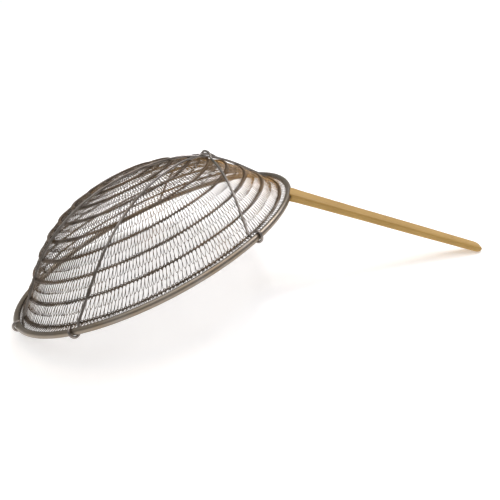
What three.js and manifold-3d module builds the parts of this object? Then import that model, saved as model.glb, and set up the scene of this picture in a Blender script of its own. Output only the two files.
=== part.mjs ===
// Wire-mesh cook's skimmer: a domed bowl of knitted wire on a rolled rim, stiffened by
// round hoops and three crossing brace wires, with a flat wooden handle on a steel tang.
// It lies mouth down, on the far edge of its rim and the tip of its handle.
// Millimetres, +Z up, +X towards the tip of the handle.

import * as THREE from 'three';
import { mergeVertices } from 'three/addons/utils/BufferGeometryUtils.js';
import Module from 'manifold-3d';

const wasm = await Module();
wasm.setup();

// ---- Driving dimensions -------------------------------------------------------------

// Rim: a strip rolled into a tube, open along a slit that faces the bowl's axis.
const rimRadius = 170; // to the tube's centre line
const rimTubeDiameter = 6.6;
const rimWall = 0.6;
const rimSlit = 1.8;
const edgeWireDiameter = 2; // the wire inside the rim that the mesh is looped over

// Bowl of wire mesh and the hoops that keep it round.
const bowlDepth = 85; // from the rim's plane to the crown
const flankRadius = 129; // the flank leaves the lowest hoop towards this point
const flankHeight = 30;
const crownFlatness = 102; // radius at which the crown starts to bend down
const meshThickness = 1;
const hoopDiameter = 2;
const hoopInset = 2.2; // from a brace wire's hook to the lowest hoop
const hoopCount = 9;
const lowestGap = 21.2; // along the bowl's curve, from the lowest hoop to the next
const crownGap = 18; // along the curve, from the last hoop to the crown

// Brace wires: azimuths of the two hooks, counted from the handle, and the way along the
// rim that each hook turns (1 anticlockwise from above, -1 clockwise).
const braceDiameter = 2.6;
const braces = [
  { name: 'brace_wire_lower', from: 223, fromSide: 1, to: 34, toSide: -1 },
  { name: 'brace_wire_middle', from: 262.5, fromSide: -1, to: 40, toSide: 1 },
  { name: 'brace_wire_upper', from: 327, fromSide: 1, to: 105, toSide: 1 },
];
const crossingRadius = 98; // where the three wires cross, from the bowl's axis
const crossingAzimuth = 23;
const crossingSpread = 14; // half the length over which a wire is raised above the others
const hookStart = 180; // angle round the rim tube where the hook begins, on the bowl's side
const fromHookEnd = 490; // most of a turn, up over the rim
const toHookEnd = 330; // under the rim and up to its outer side
const hookPitch = 5.5; // sideways step along the rim in a whole turn of the hook

// Handle and the steel bar inside it.
const handleLength = 214;
const handleWidth = 21;
const handleThickness = 9;
const tipWidth = 17;
const tipThickness = 6.5;
const tipRoundness = 7;
const handleEdge = 2.6;
const handleSlope = 37; // below the rim's plane
const tangWidth = 9;
const tangThickness = 3.6;
const tangDepth = 62; // inside the wood
const collarWall = 0.6; // the collar's thinnest part, between the rim tube and the wood
const collarMargin = 1; // the collar is this much smaller than the wood all round
const pinDiameter = 2.6;
const pinHeadDiameter = 5;
const pinHeadHeight = 0.9;
const pinPlace = 30; // from the wood's front end
const pinCover = 2; // wood left over the pin's blind end

// Clearances and facets.
const gap = 0.3; // between pieces that touch
const hookGap = 0.5; // between a brace wire and the rim tube it hooks round
const hoopLift = 0.6; // between the lowest hoop and the mesh under it
const ringSteps = 48;
const wireSides = 8;
const hoopSides = 6;

// ---- Sizes that follow --------------------------------------------------------------

const rimTubeRadius = rimTubeDiameter / 2;
const hoopRadius = hoopDiameter / 2;
const braceRadius = braceDiameter / 2;
const edgeWireRadius = edgeWireDiameter / 2;
const hookRadius = rimTubeRadius + hookGap + braceRadius;
const firstHoopRadius = rimRadius - hookRadius - braceRadius - hoopInset - hoopRadius;
const firstHoopHeight = meshThickness / 2 + hoopLift + hoopRadius;
const collarLength = rimTubeRadius + gap + collarWall; // from the rim tube's centre line

// The curve that the hoops' centre lines lie on, from the lowest hoop up to the crown.
const bowlCurve = new THREE.CubicBezierCurve(
  new THREE.Vector2(firstHoopRadius, firstHoopHeight),
  new THREE.Vector2(flankRadius, flankHeight),
  new THREE.Vector2(crownFlatness, bowlDepth),
  new THREE.Vector2(0, bowlDepth),
);

const radians = THREE.MathUtils.degToRad;

// ---- Materials ----------------------------------------------------------------------

function steel(color, roughness) {
  return new THREE.MeshStandardMaterial({ color, roughness, metalness: 1 });
}

function wood() {
  return new THREE.MeshStandardMaterial({ color: 0xc4a163, roughness: 0.6, metalness: 0 });
}

// ---- Shape tools --------------------------------------------------------------------

// A solid of revolution about +Z. The outline runs anticlockwise in (radius, height).
function turned(outline, steps = ringSteps) {
  return new THREE.LatheGeometry(outline, steps).rotateX(Math.PI / 2);
}

// A point on the circle round (x, y), at an angle in degrees.
function onCircle(x, y, radius, degrees) {
  const angle = radians(degrees);
  return new THREE.Vector2(x + radius * Math.cos(angle), y + radius * Math.sin(angle));
}

// Points on an arc, from one angle to another, in degrees.
function arcPoints(x, y, radius, from, to, steps) {
  const points = [];
  for (let i = 0; i <= steps; i += 1) {
    points.push(onCircle(x, y, radius, from + ((to - from) * i) / steps));
  }
  return points;
}

// A closed ring of round wire about +Z.
function wireRing(radius, height, wireRadius, sides) {
  return turned(arcPoints(radius, height, wireRadius, 0, 360, sides));
}

// Points beside the bowl's curve, on its outer side where the offset is positive.
function besideBowl(offset, steps) {
  const points = [];
  for (let i = 0; i <= steps; i += 1) {
    const tangent = bowlCurve.getTangent(i / steps);
    const outward = new THREE.Vector2(tangent.y, -tangent.x);
    points.push(bowlCurve.getPoint(i / steps).addScaledVector(outward, offset));
  }
  points[steps].x = 0;
  return points;
}

// A solid for cutting and joining.
function solid(geometry) {
  const plain = geometry.clone();
  plain.deleteAttribute('normal');
  plain.deleteAttribute('uv');
  const merged = mergeVertices(plain, 1e-4);
  const mesh = new wasm.Mesh({
    numProp: 3,
    vertProperties: new Float32Array(merged.attributes.position.array),
    triVerts: new Uint32Array(merged.index.array),
  });
  return new wasm.Manifold(mesh);
}

// The geometry of a solid that has been cut or joined.
function geometryOf(body) {
  const mesh = body.getMesh();
  const geometry = new THREE.BufferGeometry();
  geometry.setAttribute('position', new THREE.BufferAttribute(mesh.vertProperties, 3));
  geometry.setIndex(new THREE.BufferAttribute(mesh.triVerts, 1));
  geometry.computeVertexNormals();
  return geometry;
}

// ---- Rim ----------------------------------------------------------------------------

function rimTube() {
  const boreRadius = rimTubeRadius - rimWall;
  const outerLip = THREE.MathUtils.radToDeg(Math.asin(rimSlit / 2 / rimTubeRadius));
  const innerLip = THREE.MathUtils.radToDeg(Math.asin(rimSlit / 2 / boreRadius));
  const outside = arcPoints(rimRadius, 0, rimTubeRadius, outerLip - 180, 180 - outerLip, 12);
  const inside = arcPoints(rimRadius, 0, boreRadius, 180 - innerLip, innerLip - 180, 8);
  return turned([...outside, ...inside, outside[0].clone()]);
}

function edgeWire() {
  return wireRing(rimRadius, 0, edgeWireRadius, hoopSides);
}

// ---- Mesh bowl ----------------------------------------------------------------------

// The mesh lies close under the hoops, turns outwards below the lowest one, and goes
// through the rim's slit to the edge wire.
function meshShell() {
  const steps = 12;
  const half = meshThickness / 2;
  const under = hoopRadius + gap;
  const outer = besideBowl(-under, steps);
  const inner = besideBowl(-under - meshThickness, steps).reverse();
  const hemRadius = rimRadius - edgeWireRadius - gap;
  const hem = [
    new THREE.Vector2(inner[steps].x, -half),
    new THREE.Vector2(hemRadius, -half),
    new THREE.Vector2(hemRadius, half),
    new THREE.Vector2(firstHoopRadius, half),
  ];
  return turned([...inner, ...hem, ...outer]);
}

function meshBowl() {
  let body = solid(meshShell());
  for (const brace of bracePaths) {
    body = body.subtract(solid(wireAlong(brace.path, braceRadius + gap)));
  }
  return geometryOf(body);
}

// ---- Hoops --------------------------------------------------------------------------

function hoop(index) {
  const length = bowlCurve.getLength();
  const pitch = (length - lowestGap - crownGap) / (hoopCount - 2);
  const along = index === 0 ? 0 : lowestGap + (index - 1) * pitch;
  const place = bowlCurve.getPointAt(along / length);
  return wireRing(place.x, place.y, hoopRadius, hoopSides);
}

// ---- Brace wires --------------------------------------------------------------------

// A curve through its points with one step to each of them, so that the tight hooks get
// short steps and the long run over the bowl gets long ones.
class StepPath extends THREE.CatmullRomCurve3 {
  getUtoTmapping(u) {
    return u;
  }
}

function wireAlong(path, radius) {
  const section = new THREE.Shape(arcPoints(0, 0, radius, 0, 360 - 360 / wireSides, wireSides - 1));
  return new THREE.ExtrudeGeometry(section, {
    steps: path.points.length - 1,
    extrudePath: path,
  });
}

// The braces follow great circles of the ball that the bowl is nearly a cap of.
const ballDrop = (rimRadius ** 2 - bowlDepth ** 2) / (2 * bowlDepth);

// The direction from the ball's centre to a point at this radius and height.
function fromBallCentre(radius, height, azimuth) {
  const angle = radians(azimuth);
  const direction = new THREE.Vector3(radius * Math.cos(angle), radius * Math.sin(angle), 0);
  direction.z = height + ballDrop;
  return direction.normalize();
}

// The point over the bowl in a direction from the ball's centre.
function overBowl(direction, lift) {
  const line = besideBowl(hoopRadius + gap + braceRadius + lift, 40);
  const slope = Math.atan2(Math.hypot(direction.x, direction.y), direction.z);
  let distance = line[0].clone().add(new THREE.Vector2(0, ballDrop)).length();
  for (let i = 1; i < line.length; i += 1) {
    const low = line[i - 1];
    const high = line[i];
    const lowSlope = Math.atan2(low.x, low.y + ballDrop);
    const highSlope = Math.atan2(high.x, high.y + ballDrop);
    if (slope <= lowSlope && slope >= highSlope) {
      const share = (lowSlope - slope) / (lowSlope - highSlope);
      const lowDistance = Math.hypot(low.x, low.y + ballDrop);
      const highDistance = Math.hypot(high.x, high.y + ballDrop);
      distance = THREE.MathUtils.lerp(lowDistance, highDistance, share);
    }
  }
  return direction.clone().multiplyScalar(distance).sub(new THREE.Vector3(0, 0, ballDrop));
}

// The hook round the rim tube at an azimuth: down beside the mesh, under the rim and up
// its outer side to the hook's end.
function hookPoints(azimuth, side, hookEnd) {
  const steps = 10;
  const points = [];
  for (let i = 0; i <= steps; i += 1) {
    const turn = hookStart + ((hookEnd - hookStart) * i) / steps;
    const place = onCircle(rimRadius, 0, hookRadius, turn);
    const shift = (side * hookPitch * (turn - hookStart)) / 360;
    const angle = radians(azimuth) + shift / rimRadius;
    points.push(new THREE.Vector3(place.x * Math.cos(angle), place.x * Math.sin(angle), place.y));
  }
  return points;
}

// The run over the bowl, from one hook to the crossing and on to the other hook.
function runOverBowl(brace, layer) {
  const base = besideBowl(hoopRadius + gap + braceRadius, 1)[0];
  const start = fromBallCentre(base.x, base.y, brace.from);
  const end = fromBallCentre(base.x, base.y, brace.to);
  const crossing = fromBallCentre(crossingRadius, crossingHeight(), crossingAzimuth);
  const knots = [
    start,
    start.clone().lerp(crossing, 1 / 3),
    start.clone().lerp(crossing, 2 / 3),
    crossing,
    crossing.clone().lerp(end, 1 / 2),
    end,
  ].map((knot) => knot.normalize());
  const route = new THREE.CatmullRomCurve3(knots);
  const steps = 44;
  const points = [];
  for (let i = 0; i <= steps; i += 1) {
    const direction = route.getPointAt(i / steps).normalize();
    const away = direction.angleTo(crossing) * (bowlDepth + ballDrop);
    const lift = layer * (braceDiameter + gap) * Math.exp(-((away / crossingSpread) ** 4));
    points.push(overBowl(direction, lift));
  }
  return points;
}

function crossingHeight() {
  const line = besideBowl(0, 40);
  const after = line.findIndex((point) => point.x < crossingRadius);
  return line[after].y;
}

function bracePath(brace, layer) {
  const first = hookPoints(brace.from, brace.fromSide, fromHookEnd).reverse();
  const last = hookPoints(brace.to, brace.toSide, toHookEnd);
  return new StepPath([...first, ...runOverBowl(brace, layer), ...last]);
}

const bracePaths = braces.map((brace, layer) => ({
  name: brace.name,
  path: bracePath(brace, layer),
}));

// ---- Handle -------------------------------------------------------------------------

// In the handle's own frame +X runs from the rim tube's centre line towards the tip, and
// +Z is the handle's upper face.
function handleBlank() {
  const front = handleWidth / 2;
  const back = tipWidth / 2;
  const end = handleLength;
  const corner = Math.min(tipRoundness, back - handleEdge);
  const outline = new THREE.Shape();
  outline.moveTo(0, -front);
  outline.lineTo(end - corner, -back);
  outline.quadraticCurveTo(end, -back, end, -back + corner);
  outline.lineTo(end, back - corner);
  outline.quadraticCurveTo(end, back, end - corner, back);
  outline.lineTo(0, front);
  outline.closePath();
  const blank = new THREE.ExtrudeGeometry(outline, {
    depth: handleThickness - 2 * handleEdge,
    bevelThickness: handleEdge,
    bevelSize: handleEdge,
    bevelOffset: -handleEdge,
    bevelSegments: 3,
    curveSegments: 6,
  });
  blank.translate(0, 0, handleEdge - handleThickness / 2);
  const place = blank.attributes.position;
  for (let i = 0; i < place.count; i += 1) {
    const share = place.getX(i) / handleLength;
    const thinner = THREE.MathUtils.lerp(1, tipThickness / handleThickness, share);
    place.setZ(i, place.getZ(i) * thinner);
  }
  return blank.translate(collarLength + gap, 0, 0);
}

// The flat bar with a pointed end that is driven into the wood, enlarged by a margin.
function tangBar(margin) {
  const half = tangWidth / 2 + margin;
  const end = collarLength + gap + tangDepth + margin;
  const outline = new THREE.Shape();
  outline.moveTo(0, -half);
  outline.lineTo(end - tangWidth, -half);
  outline.lineTo(end, -half / 3);
  outline.lineTo(end, half / 3);
  outline.lineTo(end - tangWidth, half);
  outline.lineTo(0, half);
  outline.closePath();
  const thickness = tangThickness + 2 * margin;
  const bar = new THREE.ExtrudeGeometry(outline, { depth: thickness, bevelEnabled: false });
  return bar.translate(0, 0, -thickness / 2);
}

// The pin from the handle's under face through the tang, enlarged by a margin.
function pinBody(margin) {
  const share = pinPlace / handleLength;
  const half = THREE.MathUtils.lerp(handleThickness, tipThickness, share) / 2;
  const shank = pinDiameter / 2 + margin;
  const head = pinHeadDiameter / 2 + margin;
  const bottom = margin > 0 ? -half - 1 : -half + gap;
  const neck = -half + gap + pinHeadHeight + margin;
  const top = half - pinCover + margin;
  const outline = [
    new THREE.Vector2(0, bottom),
    new THREE.Vector2(head, bottom),
    new THREE.Vector2(head, neck),
    new THREE.Vector2(shank, neck),
    new THREE.Vector2(shank, top),
    new THREE.Vector2(0, top),
  ];
  return turned(outline, 16).translate(collarLength + gap + pinPlace, 0, 0);
}

// From the handle's frame to the head's frame.
function ontoRim(geometry) {
  return geometry.rotateY(radians(handleSlope)).translate(rimRadius, 0, 0);
}

function handle() {
  const wood = solid(handleBlank()).subtract(solid(tangBar(gap))).subtract(solid(pinBody(gap)));
  return ontoRim(geometryOf(wood));
}

// The tang's collar is hollowed to sit against the rim tube.
function handleTang() {
  const width = handleWidth - 2 * collarMargin;
  const thickness = handleThickness - 2 * collarMargin;
  const collar = new THREE.BoxGeometry(collarLength, width, thickness);
  collar.translate(collarLength / 2, 0, 0);
  const pinHole = turned([
    new THREE.Vector2(0, -handleThickness),
    new THREE.Vector2(pinDiameter / 2 + gap, -handleThickness),
    new THREE.Vector2(pinDiameter / 2 + gap, handleThickness),
    new THREE.Vector2(0, handleThickness),
  ], 16).translate(collarLength + gap + pinPlace, 0, 0);
  const bar = solid(tangBar(0)).add(solid(collar)).subtract(solid(pinHole));
  const placed = solid(ontoRim(geometryOf(bar)));
  return geometryOf(placed.subtract(solid(wireRing(rimRadius, 0, rimTubeRadius + gap, 24))));
}

function tangPin() {
  return ontoRim(pinBody(0));
}

// ---- Assembly -----------------------------------------------------------------------

const head = new THREE.Group();

function place(name, geometry, material) {
  const mesh = new THREE.Mesh(geometry, material);
  mesh.name = name;
  head.add(mesh);
  return mesh;
}

const rim = place('rim_tube', rimTube(), steel(0x8c8780, 0.28));
place('edge_wire', edgeWire(), steel(0x7c7770, 0.4));
place('mesh_bowl', meshBowl(), steel(0x9a938a, 0.4));
for (let i = 0; i < hoopCount; i += 1) {
  place(`hoop_${i + 1}`, hoop(i), steel(0x6f6a63, 0.45));
}
for (const brace of bracePaths) {
  place(brace.name, wireAlong(brace.path, braceRadius), steel(0x77726c, 0.32));
}
const grip = place('handle', handle(), wood());
place('handle_tang', handleTang(), steel(0x5b5751, 0.5));
place('tang_pin', tangPin(), steel(0x8a857d, 0.35));

// The lowest height of a geometry when the head is tilted by an angle, handle side up.
function lowestAt(mesh, tilt) {
  const point = mesh.geometry.attributes.position;
  let lowest = Infinity;
  for (let i = 0; i < point.count; i += 1) {
    const height = point.getX(i) * Math.sin(tilt) + point.getZ(i) * Math.cos(tilt);
    lowest = Math.min(lowest, height);
  }
  return lowest;
}

// The tilt at which the rim and the handle's tip touch the surface together.
function restingTilt() {
  let low = 0;
  let high = radians(handleSlope);
  for (let i = 0; i < 40; i += 1) {
    const middle = (low + high) / 2;
    if (lowestAt(grip, middle) < lowestAt(rim, middle)) {
      low = middle;
    } else {
      high = middle;
    }
  }
  return high;
}

// The origin is under the middle of the whole skimmer, on the surface it lies on.
const skimmer = new THREE.Group();
skimmer.add(head);
head.rotation.y = -restingTilt();
head.updateMatrixWorld(true);
const box = new THREE.Box3().setFromObject(head, true);
const middle = box.getCenter(new THREE.Vector3());
head.position.set(-middle.x, -middle.y, -box.min.z);

export default skimmer;
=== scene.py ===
import math

import bmesh
import bpy
import numpy as np
from mathutils import Matrix, Vector


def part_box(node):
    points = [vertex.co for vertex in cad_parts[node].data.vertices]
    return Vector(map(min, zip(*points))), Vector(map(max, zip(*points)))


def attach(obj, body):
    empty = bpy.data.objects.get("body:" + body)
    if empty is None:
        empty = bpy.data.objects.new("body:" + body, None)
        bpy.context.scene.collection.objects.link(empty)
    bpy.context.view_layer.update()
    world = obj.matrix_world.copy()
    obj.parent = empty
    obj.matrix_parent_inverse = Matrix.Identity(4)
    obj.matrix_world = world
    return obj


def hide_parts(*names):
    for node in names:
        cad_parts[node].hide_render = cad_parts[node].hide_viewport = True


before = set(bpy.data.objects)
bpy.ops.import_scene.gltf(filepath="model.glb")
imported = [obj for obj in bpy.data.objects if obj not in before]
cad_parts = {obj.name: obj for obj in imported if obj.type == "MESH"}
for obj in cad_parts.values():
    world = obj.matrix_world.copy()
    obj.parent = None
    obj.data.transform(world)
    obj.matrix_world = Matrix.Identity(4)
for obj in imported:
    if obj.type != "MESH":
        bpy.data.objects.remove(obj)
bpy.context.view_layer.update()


# ---- Edge wire ------------------------------------------------------------------------
# A ring of hard steel wire inside the rolled rim. The net is looped over it, and the
# strip is rolled shut round both. It is butt welded and never seen once the rim is closed.


class Flow:
    """A value in a node tree. Arithmetic on it adds the Math nodes."""

    def __init__(self, tree, socket):
        self.tree = tree
        self.socket = socket

    def math(self, operation, *others):
        return self.tree.math(operation, self, *others)

    def also(self, output):
        """Another output of the same node."""
        return Flow(self.tree, self.socket.node.outputs[output])

    def __add__(self, other):
        return self.math("ADD", other)

    __radd__ = __add__

    def __mul__(self, other):
        return self.math("MULTIPLY", other)

    __rmul__ = __mul__

    def __sub__(self, other):
        return self.math("SUBTRACT", other)

    def __rsub__(self, other):
        return self.tree.math("SUBTRACT", other, self)

    def __truediv__(self, other):
        return self.math("DIVIDE", other)

    def __rtruediv__(self, other):
        return self.tree.math("DIVIDE", other, self)


class Tree:
    """A node tree that is being wired up, for a material or for geometry."""

    def __init__(self, group):
        self.group = group

    def node(self, kind, settings=None, sockets=None, out=0):
        """Adds a node with its settings and its inputs, and gives one of its outputs."""
        made = self.group.nodes.new(kind)
        for name, value in (settings or {}).items():
            setattr(made, name, value)
        for name, value in (sockets or {}).items():
            if isinstance(value, Flow):
                self.group.links.new(value.socket, made.inputs[name])
            else:
                made.inputs[name].default_value = value
        return Flow(self, made.outputs[out]) if made.outputs else made

    def math(self, operation, *values):
        return self.node("ShaderNodeMath", {"operation": operation}, dict(enumerate(values)))

    def vector(self, x, y, z):
        return self.node("ShaderNodeCombineXYZ", {}, {0: x, 1: y, 2: z})

    def mix(self, factor, first, second):
        colours = [value if isinstance(value, Flow) else (*value, 1) for value in (first, second)]
        sockets = {0: factor, 6: colours[0], 7: colours[1]}
        return self.node("ShaderNodeMix", {"data_type": "RGBA"}, sockets, out=2)

    def noise(self, place, scale, detail=2.0, rough=0.5):
        sockets = {"Vector": place, "Scale": scale, "Detail": detail, "Roughness": rough}
        return self.node("ShaderNodeTexNoise", {}, sockets)


class Shape(Tree):
    """A Geometry Nodes tree with named inputs, that makes finished pieces."""

    def __init__(self, name, inputs):
        super().__init__(bpy.data.node_groups.new(name, "GeometryNodeTree"))
        face = self.group.interface
        face.new_socket("Geometry", in_out="OUTPUT", socket_type="NodeSocketGeometry")
        face.new_socket("Geometry", in_out="INPUT", socket_type="NodeSocketGeometry")
        self.identifiers = {}
        for label, kind in {**inputs, "Material": "Material"}.items():
            socket = face.new_socket(label, in_out="INPUT", socket_type="NodeSocket" + kind)
            self.identifiers[label] = socket.identifier
        self.entry = self.group.nodes.new("NodeGroupInput")

    def given(self, label):
        return Flow(self, self.entry.outputs[label])

    def end(self, geometry):
        smooth = self.node("GeometryNodeSetShadeSmooth", {}, {0: geometry})
        plain = self.node("GeometryNodeRealizeInstances", {}, {0: smooth})
        painted = self.node("GeometryNodeSetMaterial", {}, {0: plain, "Material": self.given("Material")})
        self.node("NodeGroupOutput", {}, {0: painted})

    def make(self, name, base=None, place=None, **values):
        """A plain mesh object from the tree, put in place."""
        mesh = base or bpy.data.meshes.new(name)
        piece = bpy.data.objects.new(name, mesh)
        bpy.context.scene.collection.objects.link(piece)
        modifier = piece.modifiers.new("shape", "NODES")
        modifier.node_group = self.group
        for label, value in values.items():
            modifier[self.identifiers[label.replace("_", " ")]] = value
        evaluated = piece.evaluated_get(bpy.context.evaluated_depsgraph_get())
        finished = bpy.data.meshes.new_from_object(evaluated)
        piece.modifiers.remove(modifier)
        piece.data = finished
        finished.name = name
        finished.transform(place or on_rim)
        return piece


# The rim's centre line, and its tube's radius. Wire sizes are radii too, here and below.
RIM_RADIUS = 0.170
RIM_TUBE = 0.0033

# The whole head is tilted about Y, so that it rests on the rim's far edge and the
# handle's tip. The frame's own rim gives the tilt and the place of the rim's centre.
rim_low, rim_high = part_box("rim_tube")
rim_middle = (rim_low + rim_high) / 2
rest_tilt = math.asin(((rim_high.z - rim_low.z) / 2 - RIM_TUBE) / RIM_RADIUS)
on_rim = Matrix.Translation(rim_middle) @ Matrix.Rotation(-rest_tilt, 4, "Y")


class Finish(Tree):
    """A material that is being made up, with the place on the object to start from."""

    def __init__(self, name):
        self.material = bpy.data.materials.new(name)
        self.material.use_nodes = True
        super().__init__(self.material.node_tree)
        self.group.nodes.clear()
        self.place = self.node("ShaderNodeTexCoord", out="Object")

    def spread(self, value, low, high, least=0.0, most=1.0):
        """A value stretched from one range to another, and kept within it."""
        return self.node("ShaderNodeMapRange", {}, {0: value, 1: low, 2: high, 3: least, 4: most})

    def bump(self, height, strength, depth):
        sockets = {"Strength": strength, "Distance": depth, "Height": height}
        return self.node("ShaderNodeBump", {}, sockets)

    def end(self, **sockets):
        """Joins the colour and the rest to the shader, and gives the material."""
        named = {name.replace("_", " "): value for name, value in sockets.items()}
        shader = self.node("ShaderNodeBsdfPrincipled", {}, named)
        self.node("ShaderNodeOutputMaterial", {}, {"Surface": shader})
        return self.material


POLISH_DEPTH = 0.0002
# A painted warm reflection, in noisy patches, grows from the front to the back, and towards the handle too.
REFLECTION_FRONT = -0.08
REFLECTION_BACK = 0.04
REFLECTION_TO_HANDLE = 0.7
REFLECTION_LEAST = 0.5


def steel(name, dark, bright, patch, rough, polish_scale, bump, painted_reflection=None):
    """Bare steel in two tones of one colour, with a painted warm reflection in places."""
    finish = Finish(name)
    tone = finish.spread(finish.noise(finish.place, patch, 3.0, 0.6), 0.3, 0.7)
    colour = finish.mix(tone, dark, bright)
    if painted_reflection:
        # Brown painted by place, in noisy patches: a painted warm reflection, not a stain on the steel.
        reflection_colour, strength, scale = painted_reflection
        reflection_patches = finish.spread(finish.noise(finish.place, scale, 2.0, 0.5), 0.45, 0.7)
        along = finish.node("ShaderNodeSeparateXYZ", {}, {0: finish.place})
        back = along.also("Y") + along * REFLECTION_TO_HANDLE
        back = finish.spread(back, REFLECTION_FRONT, REFLECTION_BACK, REFLECTION_LEAST)
        colour = finish.mix((reflection_patches + back - REFLECTION_LEAST) * back * strength, colour, reflection_colour)
    marks = finish.noise(finish.place, polish_scale, 4.0, 0.7)
    roughness = rough[0] + marks * (rough[1] - rough[0])
    normal = finish.bump(marks, bump, POLISH_DEPTH)
    return finish.end(Base_Color=colour, Metallic=1.0, Roughness=roughness, Normal=normal)


def fix(piece, node):
    """Fixes a finished piece to the frame in place of its plain node."""
    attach(piece, "root")
    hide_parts(node)


# A ring of round wire about the bowl's axis.
wire_ring = Shape(
    "wire ring",
    {"Radius": "Float", "Height": "Float", "Wire": "Float", "Steps": "Int", "Sides": "Int"},
)
ring_line = wire_ring.node(
    "GeometryNodeCurvePrimitiveCircle",
    {},
    {"Resolution": wire_ring.given("Steps"), "Radius": wire_ring.given("Radius")},
)
ring_line = wire_ring.node(
    "GeometryNodeTransform",
    {},
    {"Geometry": ring_line, "Translation": wire_ring.vector(0, 0, wire_ring.given("Height"))},
)
ring_section = wire_ring.node(
    "GeometryNodeCurvePrimitiveCircle",
    {},
    {"Resolution": wire_ring.given("Sides"), "Radius": wire_ring.given("Wire")},
)
wire_ring.end(
    wire_ring.node("GeometryNodeCurveToMesh", {}, {"Curve": ring_line, "Profile Curve": ring_section})
)

edge_steel = steel(
    "edge wire steel", (0.16, 0.145, 0.13), (0.30, 0.28, 0.26), 60, (0.35, 0.55), 900, 0.3
)
EDGE_WIRE = 0.001
RING_STEPS = 160
RING_SIDES = 8
edge_wire = wire_ring.make(
    "edge_ring",
    Radius=RIM_RADIUS,
    Height=0.0,
    Wire=EDGE_WIRE,
    Steps=RING_STEPS,
    Sides=RING_SIDES,
    Material=edge_steel,
)
fix(edge_wire, "edge_wire")


# ---- Hoops ----------------------------------------------------------------------------
# Nine rings of 1.6 mm steel wire, each smaller than the last, that give the bowl its
# round shape. The net's loops are wrapped round every one of them as it is made.

HOOP_COUNT = 9
LARGE_HOOPS = 6
SMALL_HOOP_STEPS = 72
HOOP_WIRE = 0.0008
HOOP_GAP_LOW = 0.0212
HOOP_GAP_CROWN = 0.018
FIRST_HOOP = Vector((0.1604, 0.0021))
FLANK = Vector((0.129, 0.030))
CROWN_FLAT = 0.102
BOWL_DEPTH = 0.085


def bowl_point(t):
    """Radius and height on the curve that the hoops lie on, from the lowest up."""
    crown = Vector((CROWN_FLAT, BOWL_DEPTH))
    top = Vector((0, BOWL_DEPTH))
    rest = 1 - t
    return FIRST_HOOP * rest**3 + FLANK * (3 * rest**2 * t) + crown * (3 * rest * t**2) + top * t**3


def bowl_run(t):
    """The direction of that curve, as radius and height."""
    crown = Vector((CROWN_FLAT, BOWL_DEPTH))
    top = Vector((0, BOWL_DEPTH))
    rest = 1 - t
    run = (FLANK - FIRST_HOOP) * rest**2 + (crown - FLANK) * (2 * rest * t) + (top - crown) * t**2
    return run.normalized()


curve_share = np.linspace(0, 1, 2001)
curve_points = np.array([bowl_point(t) for t in curve_share])
curve_steps = np.hypot(*np.diff(curve_points, axis=0).T)
curve_length = np.concatenate([[0], np.cumsum(curve_steps)])
hoop_pitch = (curve_length[-1] - HOOP_GAP_LOW - HOOP_GAP_CROWN) / (HOOP_COUNT - 2)
hoop_along = [0.0] + [HOOP_GAP_LOW + i * hoop_pitch for i in range(HOOP_COUNT - 1)]
hoop_share = [float(np.interp(along, curve_length, curve_share)) for along in hoop_along]

# The hoops' and wraps' brown towards the back and the handle is painted warm reflection.
hoop_steel = steel(
    "hoop wire steel",
    (0.085, 0.066, 0.048),
    (0.25, 0.21, 0.175),
    55,
    (0.3, 0.5),
    1200,
    0.35,
    painted_reflection=((0.34, 0.20, 0.08), 0.55, 18),
)
for i, share in enumerate(hoop_share):
    centre = bowl_point(share)
    hoop = wire_ring.make(
        f"hoop_ring_{i + 1}",
        Radius=centre.x,
        Height=centre.y,
        Wire=HOOP_WIRE,
        Steps=RING_STEPS if i < LARGE_HOOPS else SMALL_HOOP_STEPS,
        Sides=RING_SIDES,
        Material=hoop_steel,
    )
    fix(hoop, f"hoop_{i + 1}")


# ---- Net ------------------------------------------------------------------------------
# Fine steel wire knitted by hand in rows of long narrow loops, two rows between one hoop
# and the next. Each row's heads hang in the feet of the row above it.

NET_WIRE = 0.00029
WIRE_SIDES = 5
# Loops in a row, from the lowest rows to the crown's.
LOOPS = (240, 236, 222, 204, 172, 144, 110, 76, 36)
LOOP_STEPS = 16
LAST_ROW_END = 0.97
# How fast the loops change from one to the next: from side to side, in long drifts, and
# in how low they hang. Each row and band has its own part of the same noise.
WANDER_PACE = 0.62
DRIFT_PACE = 0.085
HANG_PACE = 0.31
HANG = 0.22
ROW_SEED = 7.3
BAND_SEED = 11

net = Shape(
    "knitted rows",
    {
        "Loops": "Int",
        "Loop steps": "Int",
        "Rows": "Int",
        "Low": "Float",
        "High": "Float",
        "Overlap": "Float",
        "Lean": "Float",
        "Pinch": "Float",
        "Weave": "Float",
        "Wander": "Float",
        "Drift": "Float",
        "Seed": "Float",
        "Wire": "Float",
        "Bulge": "Float",
        "Sink": "Float",
    },
)
net_loops = net.given("Loops")
net_steps = net.given("Loop steps")
net_line = net.node("GeometryNodeMeshLine", {}, {"Count": net_loops * net_steps})
net_line = net.node("GeometryNodeMeshToCurve", {}, {"Mesh": net_line})
net_line = net.node("GeometryNodeSetSplineCyclic", {}, {"Geometry": net_line, "Cyclic": True})
net_copies = net.node(
    "GeometryNodeDuplicateElements",
    {"domain": "SPLINE"},
    {"Geometry": net_line, "Amount": net.given("Rows")},
)
net_row = net_copies.also("Duplicate Index")
net_index = net.node("GeometryNodeSplineParameter", out="Index")
net_turns = net_index / net_steps
net_phase = net_turns * math.tau
net_round = net_turns / net_loops * math.tau
net_spread = net_loops / math.tau
net_spot_x = net_round.math("COSINE") * net_spread
net_spot_y = net_round.math("SINE") * net_spread
net_spot = net.vector(net_spot_x, net_spot_y, net_row * ROW_SEED + net.given("Seed"))
net_quick = net.noise(net_spot, WANDER_PACE, 1.0) - 0.5
net_slow = net.noise(net_spot, DRIFT_PACE, 2.0) - 0.5
net_hang = net.noise(net_spot, HANG_PACE, 1.0) - 0.5
net_rise = 0.5 - net_phase.math("COSINE") * 0.5
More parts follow.
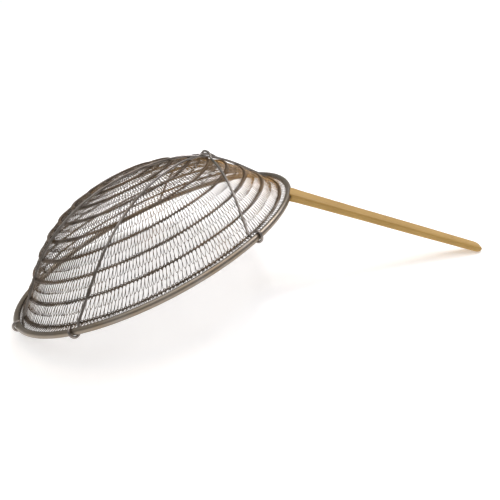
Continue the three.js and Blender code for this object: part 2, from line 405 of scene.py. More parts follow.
net_reach = (net_rise - 0.5) * (1 + net.given("Overlap")) + 0.5 + net_hang * HANG
net_within = (net_row + net_reach) / net.given("Rows")
net_share = net.given("Low") + (net.given("High") - net.given("Low")) * net_within
net_side = net_turns + net_row * 0.5 + net.given("Lean") * (net_row + net_rise)
net_side = net_side + net_phase.math("SINE") * net.given("Pinch")
net_side = net_side + net_quick * net.given("Wander") + net_slow * net.given("Drift")
net_azimuth = net_side / net_loops * math.tau
net_rest = 1 - net_share
net_low = net_rest * net_rest
net_mid = net_rest * net_share
net_high = net_share * net_share
net_radius = net_low * net_rest * FIRST_HOOP.x + net_mid * net_rest * (3 * FLANK.x)
net_radius = net_radius + net_mid * net_share * (3 * CROWN_FLAT)
net_height = net_low * net_rest * FIRST_HOOP.y + net_mid * net_rest * (3 * FLANK.y)
net_height = net_height + (net_mid * 3 + net_high) * net_share * BOWL_DEPTH
net_run_r = net_low * (FLANK.x - FIRST_HOOP.x) + net_mid * (2 * (CROWN_FLAT - FLANK.x))
net_run_r = net_run_r - net_high * CROWN_FLAT
net_run_z = net_low * (FLANK.y - FIRST_HOOP.y) + net_mid * (2 * (BOWL_DEPTH - FLANK.y))
net_run = (net_run_r * net_run_r + net_run_z * net_run_z).math("SQRT")
net_edge = (net_within * 2 - 1).math("POWER", 6)
net_off = net.given("Bulge") - net_edge * net.given("Sink")
net_off = net_off - net_phase.math("COSINE") * net.given("Weave")
net_radius = net_radius + net_off * net_run_z / net_run
net_height = net_height - net_off * net_run_r / net_run
net_place = net.vector(
    net_radius * net_azimuth.math("COSINE"), net_radius * net_azimuth.math("SINE"), net_height
)
net_line = net.node(
    "GeometryNodeSetPosition", {}, {"Geometry": net_copies, "Position": net_place}
)
net_section = net.node(
    "GeometryNodeCurvePrimitiveCircle", {}, {"Resolution": WIRE_SIDES, "Radius": net.given("Wire")}
)
net.end(net.node("GeometryNodeCurveToMesh", {}, {"Curve": net_line, "Profile Curve": net_section}))

# The net's and hem's brown towards the back and the handle is painted warm reflection.
net_steel = steel(
    "net wire steel",
    (0.045, 0.034, 0.027),
    (0.30, 0.26, 0.225),
    320,
    (0.16, 0.36),
    1500,
    0.2,
    painted_reflection=((0.30, 0.175, 0.06), 0.9, 22),
)
for i, loops in enumerate(LOOPS):
    last = i == HOOP_COUNT - 1
    band = net.make(
        f"net_band_{i + 1}",
        Loops=loops,
        Loop_steps=LOOP_STEPS,
        Rows=1 if last else 2,
        Low=hoop_share[i],
        High=LAST_ROW_END if last else hoop_share[i + 1],
        Overlap=0.12,
        Lean=1.15,
        Pinch=0.19,
        Weave=0.00026,
        Wander=0.75,
        Drift=3.0,
        Seed=float(BAND_SEED * i),
        Wire=NET_WIRE,
        Bulge=-0.00035,
        Sink=0.0009,
        Material=net_steel,
    )
    fix(band, "mesh_bowl")

# The loops' ends, wrapped round the hoops, one wrap for each loop.
WRAP_REACH = 0.0018
WRAP_THICK = 0.00106
WRAP_WIRE = 0.00042
WRAP_STEPS = 14
WRAP_WANDER = 0.4
WRAP_WANDER_PACE = 0.7
WRAP_SLANT = 0.3
WRAP_SEED = 5

wrap = Shape(
    "wrapped wire",
    {
        "Turns": "Int",
        "Turn steps": "Int",
        "Radius": "Float",
        "Height": "Float",
        "Run r": "Float",
        "Run z": "Float",
        "Reach": "Float",
        "Thick": "Float",
        "Wire": "Float",
        "Seed": "Float",
    },
)
wrap_turns = wrap.given("Turns")
wrap_line = wrap.node("GeometryNodeMeshLine", {}, {"Count": wrap_turns * wrap.given("Turn steps")})
wrap_line = wrap.node("GeometryNodeMeshToCurve", {}, {"Mesh": wrap_line})
wrap_line = wrap.node("GeometryNodeSetSplineCyclic", {}, {"Geometry": wrap_line, "Cyclic": True})
wrap_index = wrap.node("GeometryNodeSplineParameter", out="Index")
wrap_count = wrap_index / wrap.given("Turn steps")
wrap_turn = wrap_count * math.tau
wrap_round = wrap_count / wrap_turns * math.tau
wrap_spread = wrap_turns / math.tau
wrap_spot = wrap.vector(
    wrap_round.math("COSINE") * wrap_spread,
    wrap_round.math("SINE") * wrap_spread,
    wrap.given("Seed"),
)
wrap_wander = (wrap.noise(wrap_spot, WRAP_WANDER_PACE, 1.0) - 0.5) * WRAP_WANDER
wrap_side = wrap_count + wrap_wander + wrap_turn.math("SINE") * WRAP_SLANT
wrap_azimuth = wrap_side / wrap_turns * math.tau
wrap_up = wrap_turn.math("SINE") * wrap.given("Reach")
wrap_out = wrap_turn.math("COSINE") * wrap.given("Thick")
wrap_run_r, wrap_run_z = wrap.given("Run r"), wrap.given("Run z")
wrap_radius = wrap.given("Radius") + wrap_up * wrap_run_r + wrap_out * wrap_run_z
wrap_height = wrap.given("Height") + wrap_up * wrap_run_z - wrap_out * wrap_run_r
wrap_place = wrap.vector(
    wrap_radius * wrap_azimuth.math("COSINE"), wrap_radius * wrap_azimuth.math("SINE"), wrap_height
)
wrap_line = wrap.node(
    "GeometryNodeSetPosition", {}, {"Geometry": wrap_line, "Position": wrap_place}
)
wrap_section = wrap.node(
    "GeometryNodeCurvePrimitiveCircle", {}, {"Resolution": WIRE_SIDES, "Radius": wrap.given("Wire")}
)
wrap.end(wrap.node("GeometryNodeCurveToMesh", {}, {"Curve": wrap_line, "Profile Curve": wrap_section}))

for i, share in enumerate(hoop_share):
    centre = bowl_point(share)
    run = bowl_run(share)
    wraps = wrap.make(
        f"net_wraps_{i + 1}",
        Turns=LOOPS[i],
        Turn_steps=WRAP_STEPS,
        Radius=centre.x,
        Height=centre.y,
        Run_r=run.x,
        Run_z=run.y,
        Reach=WRAP_REACH,
        Thick=WRAP_THICK,
        Wire=WRAP_WIRE,
        Seed=float(WRAP_SEED * i),
        Material=hoop_steel,
    )
    fix(wraps, "mesh_bowl")

# The hem: loops from the lowest hoop through the rim's slit, as far as the edge wire.
HEM_LOOPS = 272
HEM_MIDDLE = Vector((0.1648, 0.0006))
HEM_RUN = Vector((-0.99, 0.141))
HEM_REACH = 0.0042
HEM_THICK = 0.0003
HEM_SEED = 91.0

hem = wrap.make(
    "net_hem",
    Turns=HEM_LOOPS,
    Turn_steps=WRAP_STEPS,
    Radius=HEM_MIDDLE.x,
    Height=HEM_MIDDLE.y,
    Run_r=HEM_RUN.x,
    Run_z=HEM_RUN.y,
    Reach=HEM_REACH,
    Thick=HEM_THICK,
    Wire=NET_WIRE,
    Seed=HEM_SEED,
    Material=net_steel,
)
fix(hem, "mesh_bowl")


# ---- Rim ------------------------------------------------------------------------------
# A strip of polished stainless steel, rolled lengthways into a tube round the edge wire
# and the net's hem. Its two edges stay open as a narrow slit that faces the bowl's axis.

RIM_WALL = 0.0006
RIM_SLIT = 0.0018
RIM_STEPS = 288
RIM_OUTER_STEPS = 30
RIM_INNER_STEPS = 16


def turned(name, outline, steps):
    """A closed solid of revolution about the bowl's axis, from a closed outline."""
    work = bmesh.new()
    rings = []
    for i in range(steps):
        angle = math.tau * i / steps
        rings.append([work.verts.new((r * math.cos(angle), r * math.sin(angle), z)) for r, z in outline])
    count = len(outline)
    for i in range(steps):
        here, after = rings[i], rings[(i + 1) % steps]
        for j in range(count):
            k = (j + 1) % count
            work.faces.new((here[j], after[j], after[k], here[k])).smooth = True
    bmesh.ops.recalc_face_normals(work, faces=work.faces)
    mesh = bpy.data.meshes.new(name)
    work.to_mesh(mesh)
    work.free()
    return mesh


def arc(radius, start, end, steps):
    """Points on an arc round the rim tube's centre line."""
    angles = [start + (end - start) * i / steps for i in range(steps + 1)]
    return [(RIM_RADIUS + radius * math.cos(a), radius * math.sin(a)) for a in angles]


outer_lip = math.pi - math.asin(RIM_SLIT / 2 / RIM_TUBE)
inner_lip = math.pi - math.asin(RIM_SLIT / 2 / (RIM_TUBE - RIM_WALL))
rim_outline = arc(RIM_TUBE, -outer_lip, outer_lip, RIM_OUTER_STEPS)
rim_outline += arc(RIM_TUBE - RIM_WALL, inner_lip, -inner_lip, RIM_INNER_STEPS)
rim_mesh = turned("rolled_rim", rim_outline, RIM_STEPS)
rim_mesh.transform(on_rim)
rim = bpy.data.objects.new("rolled_rim", rim_mesh)
bpy.context.scene.collection.objects.link(rim)

rim_finish = Finish("rim strip steel")
# Back to the rim's own frame, where the drawing marks run round it.
rim_own = rim_finish.node(
    "ShaderNodeMapping",
    {"vector_type": "TEXTURE"},
    {"Vector": rim_finish.place, "Location": tuple(rim_middle), "Rotation": (0, -rest_tilt, 0)},
)
rim_x = rim_finish.node("ShaderNodeSeparateXYZ", {}, {0: rim_own})
rim_y = rim_x.also("Y")
rim_z = rim_x.also("Z")
rim_reach = (rim_x * rim_x + rim_y * rim_y).math("SQRT")
rim_turn = rim_y.math("ARCTAN2", rim_x)
MARKS_ACROSS = 4200
MARKS_ALONG = 9
marks_place = rim_finish.vector(rim_reach * MARKS_ACROSS, rim_z * MARKS_ACROSS, rim_turn * MARKS_ALONG)
rim_marks = rim_finish.noise(marks_place, 1.0, 3.0, 0.6)
rim_patch = rim_finish.spread(rim_finish.noise(rim_finish.place, 30, 3.0, 0.6), 0.32, 0.68)
rim_mesh.materials.append(
    rim_finish.end(
        Base_Color=rim_finish.mix(rim_patch, (0.27, 0.215, 0.15), (0.31, 0.28, 0.245)),
        Metallic=1.0,
        Roughness=0.31 + rim_marks * 0.14 + rim_patch * 0.05,
        Normal=rim_finish.bump(rim_marks, 0.25, 0.0001),
    )
)
fix(rim, "rim_tube")


# ---- Brace wires ----------------------------------------------------------------------
# Three lengths of 2.6 mm spring wire laid over the bowl from rim to rim. They cross one
# over another high on the handle's side, and each end is bent in a hook round the rim.

BRACE_WIRE = 0.0013
# The frame's hoops are 2 mm wire, and the braces are laid over those.
CAD_HOOP = 0.001
GAP = 0.0003
HOOK_GAP = 0.0005
# Each wire's name, then the azimuths of its two hooks with the way that each one turns.
BRACES = (
    ("lower", 223, 1, 34, -1),
    ("middle", 262.5, -1, 40, 1),
    ("upper", 327, 1, 105, 1),
)
CROSSING_RADIUS = 0.098
CROSSING_AZIMUTH = math.radians(23)
CROSSING_SPREAD = 0.014
HOOK_START = math.radians(180)
HOOK_END_NEAR = math.radians(490)
HOOK_END_FAR = math.radians(330)
HOOK_PITCH = 0.0055
HOOK_STEPS = 20
RUN_STEPS = 88
KNOT_STEPS = 60
BOWL_STEPS = 80
CROSSING_STEPS = 40
BRACE_SIDES = 14
BRACE_SPACING = 0.0012
hook_radius = RIM_TUBE + HOOK_GAP + BRACE_WIRE
ball_drop = (RIM_RADIUS**2 - BOWL_DEPTH**2) / (2 * BOWL_DEPTH)


def beside_bowl(offset, steps):
    """Points at an offset from the hoops' curve, outwards where it is positive."""
    line = []
    for i in range(steps + 1):
        run = bowl_run(i / steps)
        line.append(bowl_point(i / steps) + Vector((run.y, -run.x)) * offset)
    line[-1].x = 0
    return line


def from_ball(radius, height, azimuth):
    """The direction to a point from the centre of the ball that the bowl nearly is."""
    spot = Vector((radius * math.cos(azimuth), radius * math.sin(azimuth), height + ball_drop))
    return spot.normalized()


def over_bowl(direction, lift):
    """The point in a direction where a wire lies on the hoops, or is raised above them."""
    line = beside_bowl(CAD_HOOP + GAP + BRACE_WIRE + lift, BOWL_STEPS)
    slope = math.atan2(math.hypot(direction.x, direction.y), direction.z)
    slopes = [math.atan2(p.x, p.y + ball_drop) for p in line]
    reach = [math.hypot(p.x, p.y + ball_drop) for p in line]
    distance = float(np.interp(slope, slopes[::-1], reach[::-1]))
    return direction * distance - Vector((0, 0, ball_drop))


def smooth_route(knots, steps):
    """Directions spaced evenly on a smooth line through the knots."""
    ends = [knots[0] * 2 - knots[1], *knots, knots[-1] * 2 - knots[-2]]
    line = []
    for a, b, c, d in zip(ends, ends[1:], ends[2:], ends[3:]):
        spans = [max((q - p).length ** 0.5, 1e-6) for p, q in ((a, b), (b, c), (c, d))]
        first = ((b - a) / spans[0] - (c - a) / (spans[0] + spans[1]) + (c - b) / spans[1]) * spans[1]
        second = ((c - b) / spans[1] - (d - b) / (spans[1] + spans[2]) + (d - c) / spans[2]) * spans[1]
        for i in range(KNOT_STEPS):
            t = i / KNOT_STEPS
            line.append(
                b
                + first * t
                + (b * -3 + c * 3 - first * 2 - second) * t**2
                + (b * 2 - c * 2 + first + second) * t**3
            )
    line.append(knots[-1])
    points = np.array(line)
    along = np.concatenate([[0], np.cumsum(np.linalg.norm(np.diff(points, axis=0), axis=1))])
    wanted = np.linspace(0, along[-1], steps + 1)
    return [Vector([np.interp(w, along, points[:, k]) for k in range(3)]).normalized() for w in wanted]


def hook_points(azimuth, side, hook_end):
    """The wire's centre line round the rim, from the bowl's side to the hook's end."""
    points = []
    for i in range(HOOK_STEPS + 1):
        turn = HOOK_START + (hook_end - HOOK_START) * i / HOOK_STEPS
        reach = RIM_RADIUS + hook_radius * math.cos(turn)
        angle = azimuth + side * HOOK_PITCH * (turn - HOOK_START) / math.tau / RIM_RADIUS
        points.append(
            Vector((reach * math.cos(angle), reach * math.sin(angle), hook_radius * math.sin(turn)))
        )
    return points


def brace_route(start, start_side, end, end_side, layer):
    """The wire's centre line, from one hook's end to the other's."""
    base = beside_bowl(CAD_HOOP + GAP + BRACE_WIRE, 1)[0]
    crossing_line = beside_bowl(0, CROSSING_STEPS)
    crossing_height = next(p.y for p in crossing_line if p.x < CROSSING_RADIUS)
    first = from_ball(base.x, base.y, start)
    last = from_ball(base.x, base.y, end)
    crossing = from_ball(CROSSING_RADIUS, crossing_height, CROSSING_AZIMUTH)
    knots = [
        first,
        first.lerp(crossing, 1 / 3).normalized(),
        first.lerp(crossing, 2 / 3).normalized(),
        crossing,
        crossing.lerp(last, 1 / 2).normalized(),
        last,
    ]
    run = []
    for direction in smooth_route(knots, RUN_STEPS):
        away = direction.angle(crossing) * (BOWL_DEPTH + ball_drop)
        lift = layer * (2 * BRACE_WIRE + GAP) * math.exp(-((away / CROSSING_SPREAD) ** 4))
        run.append(over_bowl(direction, lift))
    near_hook = hook_points(start, start_side, HOOK_END_NEAR)
    return near_hook[::-1] + run + hook_points(end, end_side, HOOK_END_FAR)


# Round wire along a route, cut square at both ends.
wire_route = Shape("wire along a route", {"Wire": "Float", "Sides": "Int", "Spacing": "Float"})
route_line = wire_route.node("GeometryNodeMeshToCurve", {}, {"Mesh": wire_route.given("Geometry")})
route_line = wire_route.node(
    "GeometryNodeCurveSplineType", {"spline_type": "CATMULL_ROM"}, {"Curve": route_line}
)
route_line = wire_route.node(
    "GeometryNodeResampleCurve",
    {"mode": "LENGTH"},
    {"Curve": route_line, "Length": wire_route.given("Spacing")},
)
route_section = wire_route.node(
    "GeometryNodeCurvePrimitiveCircle",
    {},
    {"Resolution": wire_route.given("Sides"), "Radius": wire_route.given("Wire")},
)
wire_route.end(
    wire_route.node(
        "GeometryNodeCurveToMesh",
        {},
        {"Curve": route_line, "Profile Curve": route_section, "Fill Caps": True},
    )
)

brace_steel = steel(
    "brace wire steel", (0.15, 0.13, 0.11), (0.34, 0.31, 0.285), 45, (0.22, 0.38), 1400, 0.3
)
for layer, (label, start, start_side, end, end_side) in enumerate(BRACES):
    points = brace_route(math.radians(start), start_side, math.radians(end), end_side, layer)
    base = bpy.data.meshes.new(label)
    base.from_pydata(points, [(i, i + 1) for i in range(len(points) - 1)], [])
    brace = wire_route.make(
        f"brace_{label}",
        base=base,
        Wire=BRACE_WIRE,
        Sides=BRACE_SIDES,
        Spacing=BRACE_SPACING,
        Material=brace_steel,
    )
    fix(brace, f"brace_wire_{label}")


# ---- Tang -----------------------------------------------------------------------------
# A flat steel bar with a square shoulder, welded to the rim's outer side. Its point is
# driven into the wood, and the shoulder stops against the handle's front end.

tang_steel = steel(
    "tang steel", (0.10, 0.085, 0.07), (0.24, 0.22, 0.20), 90, (0.4, 0.65), 700, 0.5
)
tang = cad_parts["handle_tang"]
tang.data.materials.clear()
tang.data.materials.append(tang_steel)


# ---- Handle ---------------------------------------------------------------------------
# A flat stick of pale bamboo, split, planed and rounded over by hand. It tapers to a
# blunt round tip, and shows long straight fibres, a few brown flecks and soft stains.

HANDLE_LENGTH = 0.214
HANDLE_FRONT = 0.0045
HANDLE_WIDTH = 0.021
HANDLE_THICKNESS = 0.009
TIP_WIDTH = 0.017
TIP_THICKNESS = 0.0065
TIP_ROUND = 0.0075
HANDLE_EDGE = 0.0027
HANDLE_SLOPE = math.radians(37)
SLOT_WIDTH = 0.0096
SLOT_HEIGHT = 0.0042
SLOT_DEPTH = 0.0626
# The front end is hollowed over the tang's collar, and its lip is cut to fit the rim.
HANDLE_LIP = 0.0038
COLLAR_WIDTH = 0.0196
COLLAR_HEIGHT = 0.0076
COLLAR_EDGE = 0.0003
FRONT_EDGE = 0.0012
EDGE_RUN = 0.007
# The outside's last two sections before the front end: place behind the lip, and inset.
FRONT_BEVEL = ((0.0, 0.0006), (0.0002, 0.0004))
SKIN_START = 0.0006
SLOT_SHARES = (1.0, 0.6, 0.3, 0.0)
SLOT_TAPER_FROM = 0.6
SLOT_TAPER = 0.35
SLOT_EDGE = 0.0006
# The planed sides wander a little: height of each wave, how close they lie, and start.
WIDTH_WAVES = ((0.00022, 11, 0.7), (0.00012, 29, 0.0))
THICKNESS_WAVES = ((0.00014, 9, 2.0),)
WIDTH_ALLOWANCE = 0.0003
THICKNESS_ALLOWANCE = 0.0001
TIP_NARROWING = 0.62
TIP_THINNING = 0.72
TIP_FULLNESS = 0.8
SECTION_POINTS = 48
HANDLE_STEPS = 110
CLOSER_TO_TIP = 1.6

to_handle = (
    on_rim
    @ Matrix.Translation((RIM_RADIUS, 0, 0))
    @ Matrix.Rotation(HANDLE_SLOPE, 4, "Y")
    @ Matrix.Translation((HANDLE_FRONT, 0, 0))
)


def rounded_section(x, width, thickness, edge):
    """A rounded rectangle across the handle, as points in order round it."""
    edge = min(edge, width / 2 * 0.98, thickness / 2 * 0.98)
    corners = (
        (width / 2 - edge, thickness / 2 - edge, 0),
        (edge - width / 2, thickness / 2 - edge, 90),
        (edge - width / 2, edge - thickness / 2, 180),
        (width / 2 - edge, edge - thickness / 2, 270),
    )
    points = []
    per_corner = SECTION_POINTS // 4
    for y, z, start in corners:
        for i in range(per_corner):
            angle = math.radians(start + 90 * i / (per_corner - 1))
            points.append((x, y + edge * math.cos(angle), z + edge * math.sin(angle)))
    return points


def waves(heights, along):
    """How far a planed side is off its straight line, at a share of the handle's length."""
    return sum(height * math.sin(along * pace + start) for height, pace, start in heights)


def handle_sections():
    """The pocket for the tang from its bottom out, then the outside to the tip."""
    rings = []
    for share in SLOT_SHARES:
        taper = 1 - SLOT_TAPER * max(0, share - SLOT_TAPER_FROM) / (1 - SLOT_TAPER_FROM)
        rings.append(rounded_section(SLOT_DEPTH * share, SLOT_WIDTH * taper, SLOT_HEIGHT, SLOT_EDGE))
    for x in (0, -HANDLE_LIP):
        rings.append(rounded_section(x, COLLAR_WIDTH, COLLAR_HEIGHT, COLLAR_EDGE))
    for behind, inset in FRONT_BEVEL:
        width = HANDLE_WIDTH - inset
        rings.append(rounded_section(behind - HANDLE_LIP, width, HANDLE_THICKNESS - inset, FRONT_EDGE))
    for i in range(HANDLE_STEPS + 1):
        share = 1 - (1 - i / HANDLE_STEPS) ** CLOSER_TO_TIP
        x = SKIN_START + (HANDLE_LENGTH - SKIN_START) * share
        along = x / HANDLE_LENGTH
        width = HANDLE_WIDTH + (TIP_WIDTH - HANDLE_WIDTH) * along
        thickness = HANDLE_THICKNESS + (TIP_THICKNESS - HANDLE_THICKNESS) * along
        width += waves(WIDTH_WAVES, along)
        thickness += waves(THICKNESS_WAVES, along) - THICKNESS_ALLOWANCE
        over = max(0.0, x - (HANDLE_LENGTH - TIP_ROUND)) / TIP_ROUND
        round_off = math.sqrt(max(0.0, 1 - over**2))
        width -= (1 - round_off) * width * TIP_NARROWING
        thickness -= (1 - round_off**TIP_FULLNESS) * thickness * TIP_THINNING
        edge = FRONT_EDGE + (HANDLE_EDGE - FRONT_EDGE) * min(1, x / EDGE_RUN)
        rings.append(rounded_section(x, width - WIDTH_ALLOWANCE, thickness, edge))
    return rings


work = bmesh.new()
skins = [[work.verts.new(p) for p in ring] for ring in handle_sections()]
for here, after in zip(skins, skins[1:]):
    for j in range(SECTION_POINTS):
        k = (j + 1) % SECTION_POINTS
        work.faces.new((here[j], here[k], after[k], after[j])).smooth = True
work.faces.new(skins[0])
work.faces.new(skins[-1])
bmesh.ops.remove_doubles(work, verts=work.verts, dist=1e-6)
bmesh.ops.recalc_face_normals(work, faces=work.faces)
handle_mesh = bpy.data.meshes.new("wooden_handle")
work.to_mesh(handle_mesh)
work.free()
handle = bpy.data.objects.new("wooden_handle", handle_mesh)
bpy.context.scene.collection.objects.link(handle)

wood = Finish("bamboo")
# Along, across and through the handle, from its front end.
wood_own = wood.node(
    "ShaderNodeMapping",
    {"vector_type": "TEXTURE"},
    {
        "Vector": wood.place,
        "Location": tuple(to_handle.translation),
        "Rotation": (0, HANDLE_SLOPE - rest_tilt, 0),
    },
)
wood_x = wood.node("ShaderNodeSeparateXYZ", {}, {0: wood_own})
wood_y = wood_x.also("Y")
wood_z = wood_x.also("Z")
wood_sway = wood.noise(wood_own, 14, 2.0) * 0.0016
fibre_place = wood.vector(wood_x * 16, (wood_y + wood_sway) * 900, wood_z * 900)
fibres = wood.noise(fibre_place, 1.0, 3.0, 0.6)
streak_place = wood.vector(wood_x * 7, (wood_y + wood_sway) * 260, wood_z * 260)
streaks = wood.spread(wood.noise(streak_place, 1.0, 2.0, 0.55), 0.35, 0.68)
clouds = wood.spread(wood.noise(wood_own, 32, 2.0, 0.5), 0.35, 0.7)
wood_colour = wood.mix(streaks, (0.60, 0.385, 0.115), (0.49, 0.30, 0.08))
wood_colour = wood.mix(clouds * 0.5, wood_colour, (0.41, 0.24, 0.06))
wood_colour = wood.mix(fibres * 0.4, wood_colour, (0.37, 0.21, 0.045))
# Brown flecks: place along and across the handle, and size.
FLECKS = (
    (0.104, 0.001, 0.0017),
    (0.180, -0.0015, 0.0015),
    (0.196, -0.001, 0.001),
    (0.150, 0.004, 0.0009),
)
for fleck_x, fleck_y, size in FLECKS:
    away_x = (wood_x - fleck_x) * 0.6
    away_y = wood_y - fleck_y
    away = (away_x * away_x + away_y * away_y).math("SQRT") + wood_sway * 0.3
    fleck = wood.spread(away, size, size * 0.4, 0.0, 0.6)
    wood_colour = wood.mix(fleck, wood_colour, (0.22, 0.085, 0.022))
bamboo = wood.end(
    Base_Color=wood_colour,
    Roughness=0.42 + fibres * 0.16 + clouds * 0.08,
    Normal=wood.bump(fibres + streaks * 0.5, 0.35, 0.0003),
)


# ---- Pin ------------------------------------------------------------------------------
# A small steel pin driven up through the wood and the tang from the under side, so that
# the handle can't slide off. Its head lies just below the wood's surface.

PIN_PLACE = 0.030
PIN_SHANK = 0.0013
PIN_HEAD = 0.0025
PIN_HEAD_HEIGHT = 0.0009
PIN_COVER = 0.002
PIN_STEPS = 40
HOLE_START = -0.01
NOTCH_ROOM = 0.0001
NOTCH_SIDES = 24
NOTCH_STEPS = 240

pin_share = PIN_PLACE / HANDLE_LENGTH
pin_half = (HANDLE_THICKNESS + (TIP_THICKNESS - HANDLE_THICKNESS) * pin_share) / 2


def spindle(name, outline):
    """A solid turned about its own axis, from a profile that starts and ends on it."""
    work = bmesh.new()
    rings = []
    for radius, height in outline:
        if radius == 0:
            rings.append([work.verts.new((PIN_PLACE, 0, height))] * PIN_STEPS)
            continue
        turns = [math.tau * i / PIN_STEPS for i in range(PIN_STEPS)]
        rings.append(
            [work.verts.new((PIN_PLACE + radius * math.cos(a), radius * math.sin(a), height)) for a in turns]
        )
    for low, high in zip(rings, rings[1:]):
        for j in range(PIN_STEPS):
            k = (j + 1) % PIN_STEPS
            corners = list(dict.fromkeys((low[j], low[k], high[k], high[j])))
            work.faces.new(corners)
    bmesh.ops.recalc_face_normals(work, faces=work.faces)
    mesh = bpy.data.meshes.new(name)
    work.to_mesh(mesh)
    work.free()
    piece = bpy.data.objects.new(name, mesh)
    bpy.context.scene.collection.objects.link(piece)
    return piece


head_low = GAP - pin_half
neck = head_low + PIN_HEAD_HEIGHT
hole = spindle(
    "pin_hole",
    (
        (0, HOLE_START),
        (PIN_HEAD + GAP, HOLE_START),
        (PIN_HEAD + GAP, neck + GAP),
        (PIN_SHANK + GAP, neck + GAP),
        (PIN_SHANK + GAP, pin_half - PIN_COVER + GAP),
        (0, pin_half - PIN_COVER + GAP),
    ),
)
# The rim tube's own shape, a little larger, cuts the hollow where the wood meets the rim.
notch_radius = RIM_TUBE + NOTCH_ROOM
rim_angles = [math.tau * i / NOTCH_SIDES for i in range(NOTCH_SIDES)]
rim_room = [
    (RIM_RADIUS + notch_radius * math.cos(a), notch_radius * math.sin(a)) for a in rim_angles
]
notch_mesh = turned("rim_notch", rim_room, NOTCH_STEPS)
notch_mesh.transform(to_handle.inverted() @ on_rim)
notch = bpy.data.objects.new("rim_notch", notch_mesh)
bpy.context.scene.collection.objects.link(notch)
for cutter in (hole, notch):
    cut = handle.modifiers.new("cut", "BOOLEAN")
    cut.operation = "DIFFERENCE"
    cut.solver = "EXACT"
    cut.object = cutter
evaluated = handle.evaluated_get(bpy.context.evaluated_depsgraph_get())
drilled = bpy.data.meshes.new_from_object(evaluated)
handle.modifiers.clear()
handle.data = drilled
bpy.data.objects.remove(hole)
bpy.data.objects.remove(notch)
drilled.transform(to_handle)
drilled.materials.clear()
drilled.materials.append(bamboo)
fix(handle, "handle")

pin = spindle(
    "pin",
    (
        (0, head_low),
        (PIN_HEAD * 0.55, head_low + 0.00003),
        (PIN_HEAD * 0.85, head_low + 0.00014),
        (PIN_HEAD * 0.97, head_low + 0.00032),
        (PIN_HEAD, head_low + 0.00055),
        (PIN_HEAD, neck),
        (PIN_SHANK, neck),
        (PIN_SHANK, pin_half - PIN_COVER - 0.0006),
        (PIN_SHANK * 0.4, pin_half - PIN_COVER),
        (0, pin_half - PIN_COVER),
    ),
)
pin_steel = steel("pin steel", (0.20, 0.18, 0.16), (0.36, 0.34, 0.32), 300, (0.25, 0.45), 2500, 0.4)
pin.data.materials.append(pin_steel)
pin.data.transform(to_handle)
fix(pin, "tang_pin")


# ---- Floor, light and camera ----------------------------------------------------------
# A plain pale floor under soft light from above, with a cool window behind and a small
# warm lamp overhead. The camera stands low in front, a little turned on its axis.

FLOOR_HALF = 40
floor_corners = [(x * FLOOR_HALF, y * FLOOR_HALF, 0) for x, y in ((-1, -1), (1, -1), (1, 1), (-1, 1))]
floor_mesh = bpy.data.meshes.new("floor")
floor_mesh.from_pydata(floor_corners, [], [(0, 1, 2, 3)])
floor = bpy.data.objects.new("floor", floor_mesh)
bpy.context.scene.collection.objects.link(floor)
floor_finish = Finish("floor paint")
floor_grain = floor_finish.noise(floor_finish.place, 3, 3.0)
floor_colour = floor_finish.mix(floor_grain, (0.90, 0.89, 0.875), (0.86, 0.855, 0.845))
floor_paint = floor_finish.end(
    Base_Color=floor_colour, Roughness=0.9, Emission_Color=floor_colour, Emission_Strength=0.44
)
floor_mesh.materials.append(floor_paint)

scene = bpy.context.scene
world = bpy.data.worlds.new("studio")
scene.world = world
world.use_nodes = True
world.node_tree.nodes.clear()
room = Tree(world.node_tree)
room_way = room.node("ShaderNodeTexCoord", out="Generated")
room_height = room.node("ShaderNodeSeparateXYZ", {}, {0: room_way}, out="Z")
room_colour = room.node("ShaderNodeValToRGB", {}, {0: room_height})
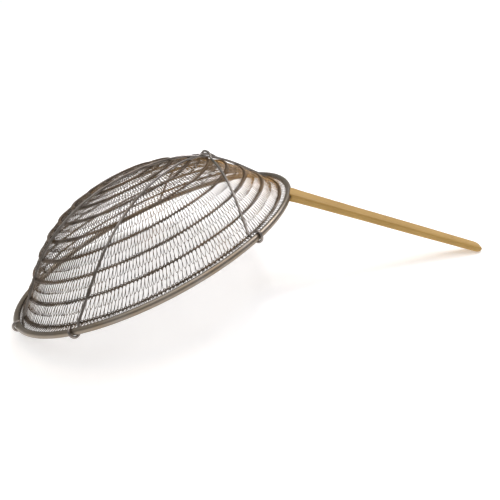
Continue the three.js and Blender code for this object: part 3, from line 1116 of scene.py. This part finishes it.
# Warm and dim at the floor, cool and bright overhead.
room_shades = room_colour.socket.node.color_ramp.elements
room_shades[0].color = (0.20, 0.19, 0.17, 1)
room_shades[1].color = (0.62, 0.64, 0.68, 1)
room_shades.new(0.25).color = (0.30, 0.29, 0.28, 1)
seen = room.node("ShaderNodeLightPath", out="Is Camera Ray")
backdrop = room.mix(seen, room_colour, (1.2, 1.2, 1.2))
room_shader = room.node("ShaderNodeBackground", {}, {"Color": backdrop, "Strength": 0.85})
room.node("ShaderNodeOutputWorld", {}, {"Surface": room_shader})


def light_from(name, kind, place, energy, colour):
    """A lamp that shines from a place towards the skimmer."""
    lamp = bpy.data.lights.new(name, kind)
    lamp.energy = energy
    lamp.color = colour
    light = bpy.data.objects.new(name, lamp)
    scene.collection.objects.link(light)
    light.location = place
    light.rotation_mode = "QUATERNION"
    light.rotation_quaternion = (-Vector(place)).to_track_quat("-Z", "Y")
    return lamp


overhead = light_from("overhead", "SUN", (-0.3, 0.1, 1.6), 1.0, (1.0, 0.985, 0.96))
overhead.angle = math.radians(70)
spark = light_from("spark", "SUN", (0.5, 1.0, 1.3), 0.6, (1.0, 0.97, 0.92))
spark.angle = math.radians(9)
window = light_from("window", "AREA", (0.9, 0.7, 1.5), 8, (0.80, 0.82, 1.0))
window.size = 0.7
warm_lamp = light_from("warm lamp", "AREA", (0.2, -0.2, 1.3), 0.8, (1.0, 0.55, 0.25))
warm_lamp.size = 0.3

CAMERA_PLACE = Vector((0.107630, -0.488238, 0.264245))
CAMERA_FORWARD = Vector((-0.170389, 0.883215, -0.436920))
CAMERA_ROLL = math.radians(9.4361)
camera_data = bpy.data.cameras.new("camera")
camera_data.sensor_width = 36
camera_data.lens = 34.174
camera_data.clip_start = 0.01
camera_data.clip_end = 50
camera = bpy.data.objects.new("camera", camera_data)
scene.collection.objects.link(camera)
level = CAMERA_FORWARD.cross(Vector((0, 0, 1))).normalized()
upright = level.cross(CAMERA_FORWARD).normalized()
camera_up = upright * math.cos(CAMERA_ROLL) + level * math.sin(CAMERA_ROLL)
camera_right = level * math.cos(CAMERA_ROLL) - upright * math.sin(CAMERA_ROLL)
turn = Matrix((camera_right, camera_up, -CAMERA_FORWARD)).transposed()
camera.matrix_world = Matrix.Translation(CAMERA_PLACE) @ turn.to_4x4()
scene.camera = camera
scene.view_settings.view_transform = "Standard"
